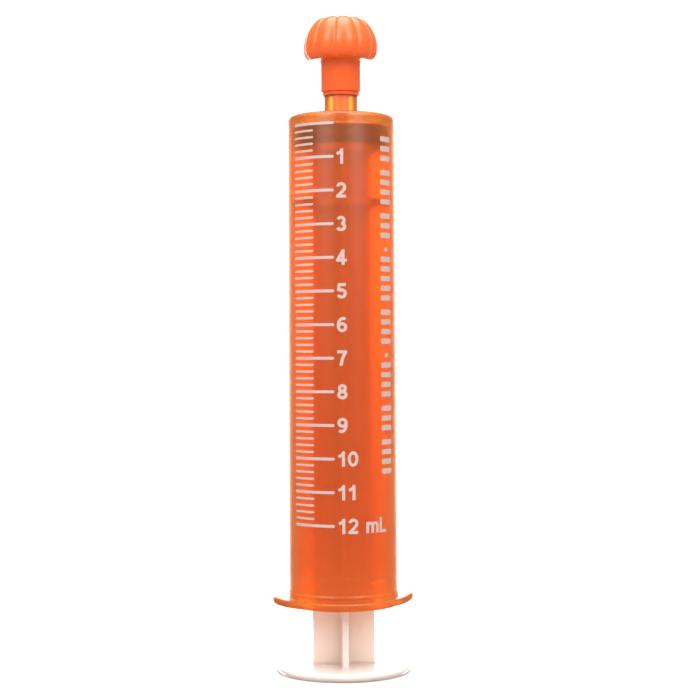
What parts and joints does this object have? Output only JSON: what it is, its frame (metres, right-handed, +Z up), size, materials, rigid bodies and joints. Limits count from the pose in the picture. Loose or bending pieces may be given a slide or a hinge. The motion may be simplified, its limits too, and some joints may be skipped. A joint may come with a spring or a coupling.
{
  "type": "oral syringe",
  "caption": "Oral dosing syringe: translucent graduated barrel with finger flange, ribbed push rod with rubber seal, and a lobed pull-off tip cap.",
  "frame": {"origin": "centre of the underside of the thumb rest, on the common axis of rod, barrel and cap", "axes": "+Z up along the common axis from the thumb rest to the cap, X along the two ears of the finger flange, Y across them with the printed scale on the -Y side"},
  "size_m": [0.0234, 0.0222, 0.1073],
  "materials": {
    "rod_plastic": "milky natural polypropylene, moulded, satin",
    "seal_rubber": "dark grey moulded rubber, smooth and lightly lubricated",
    "barrel_plastic": "orange tinted translucent polypropylene, glossy, with a printed white scale",
    "scale_ink": "opaque white printing ink, satin",
    "cap_plastic": "orange semi-opaque polypropylene, satin gloss"
  },
  "bodies": {
    "plunger": {"plunger_rod": "rod_plastic", "plunger_seal": "seal_rubber"},
    "barrel": {"barrel": "barrel_plastic"},
    "tip_cap": {"tip_cap": "cap_plastic"}
  },
  "joints": [
    {"name": "plunger_slide", "type": "slide", "parent": "plunger", "child": "barrel", "axis": [0, 0, 1], "range_m": [0, 0.0695]},
    {"name": "cap_pull_off", "type": "slide", "parent": "barrel", "child": "tip_cap", "axis": [0, 0, 1], "range_m": [0, 0.015]}
  ]
}
